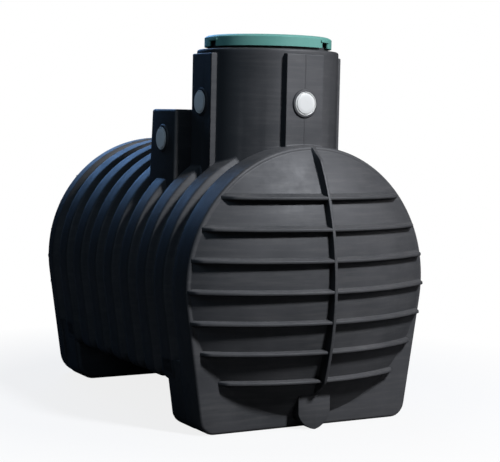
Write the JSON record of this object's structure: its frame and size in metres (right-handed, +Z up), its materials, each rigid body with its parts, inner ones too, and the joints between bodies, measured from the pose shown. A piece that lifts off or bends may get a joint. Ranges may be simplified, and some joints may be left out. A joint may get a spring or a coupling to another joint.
{
  "type": "underground water tank",
  "caption": "Hooped plastic tank for burying, lying on moulded feet, with dished ribbed ends, an access neck under a lift-off lid and a box turret for pipes.",
  "frame": {"origin": "middle of the underside, on the ground", "axes": "+Z up, the ribbed front end faces -Y, the neck is nearer the front, +X to the right"},
  "size_m": [1.35, 2.301, 1.922],
  "materials": {
    "black_polyethylene": "matt moulded polyethylene",
    "green_lid": "satin moulded polyethylene",
    "grey_cap": "satin pale grey plastic",
    "seal_rubber": "matt rubber"
  },
  "bodies": {
    "tank": {"front_rim": "black_polyethylene", "rear_rim": "black_polyethylene", "front_dish": "black_polyethylene", "rear_dish": "black_polyethylene", "front_ribs": "black_polyethylene", "rear_ribs": "black_polyethylene", "front_lug": "black_polyethylene", "rear_lug": "black_polyethylene", "front_foot": "black_polyethylene", "rear_foot": "black_polyethylene", "barrel_right_roof": "black_polyethylene", "barrel_left_roof": "black_polyethylene", "barrel_right_shoulder": "black_polyethylene", "barrel_left_shoulder": "black_polyethylene", "barrel_right_flank": "black_polyethylene", "barrel_left_flank": "black_polyethylene", "barrel_right_side": "black_polyethylene", "barrel_left_side": "black_polyethylene", "belly": "black_polyethylene", "neck_front": "black_polyethylene", "neck_right": "black_polyethylene", "neck_rear": "black_polyethylene", "neck_left": "black_polyethylene", "neck_collar": "black_polyethylene", "lid_seal": "seal_rubber", "front_blanking_cap": "grey_cap", "right_blanking_cap": "grey_cap", "left_blanking_cap": "grey_cap", "box_right_cap": "grey_cap", "box_left_cap": "grey_cap", "box_roof": "black_polyethylene", "box_left_wall": "black_polyethylene", "box_right_wall": "black_polyethylene", "box_front_wall": "black_polyethylene", "box_rear_wall": "black_polyethylene"},
    "lid": {"lid_top": "green_lid", "lid_skirt": "green_lid"}
  },
  "joints": [
    {"name": "lid_lift", "type": "slide", "parent": "tank", "child": "lid", "axis": [0, 0, 1], "range_m": [0, 0.35]}
  ]
}
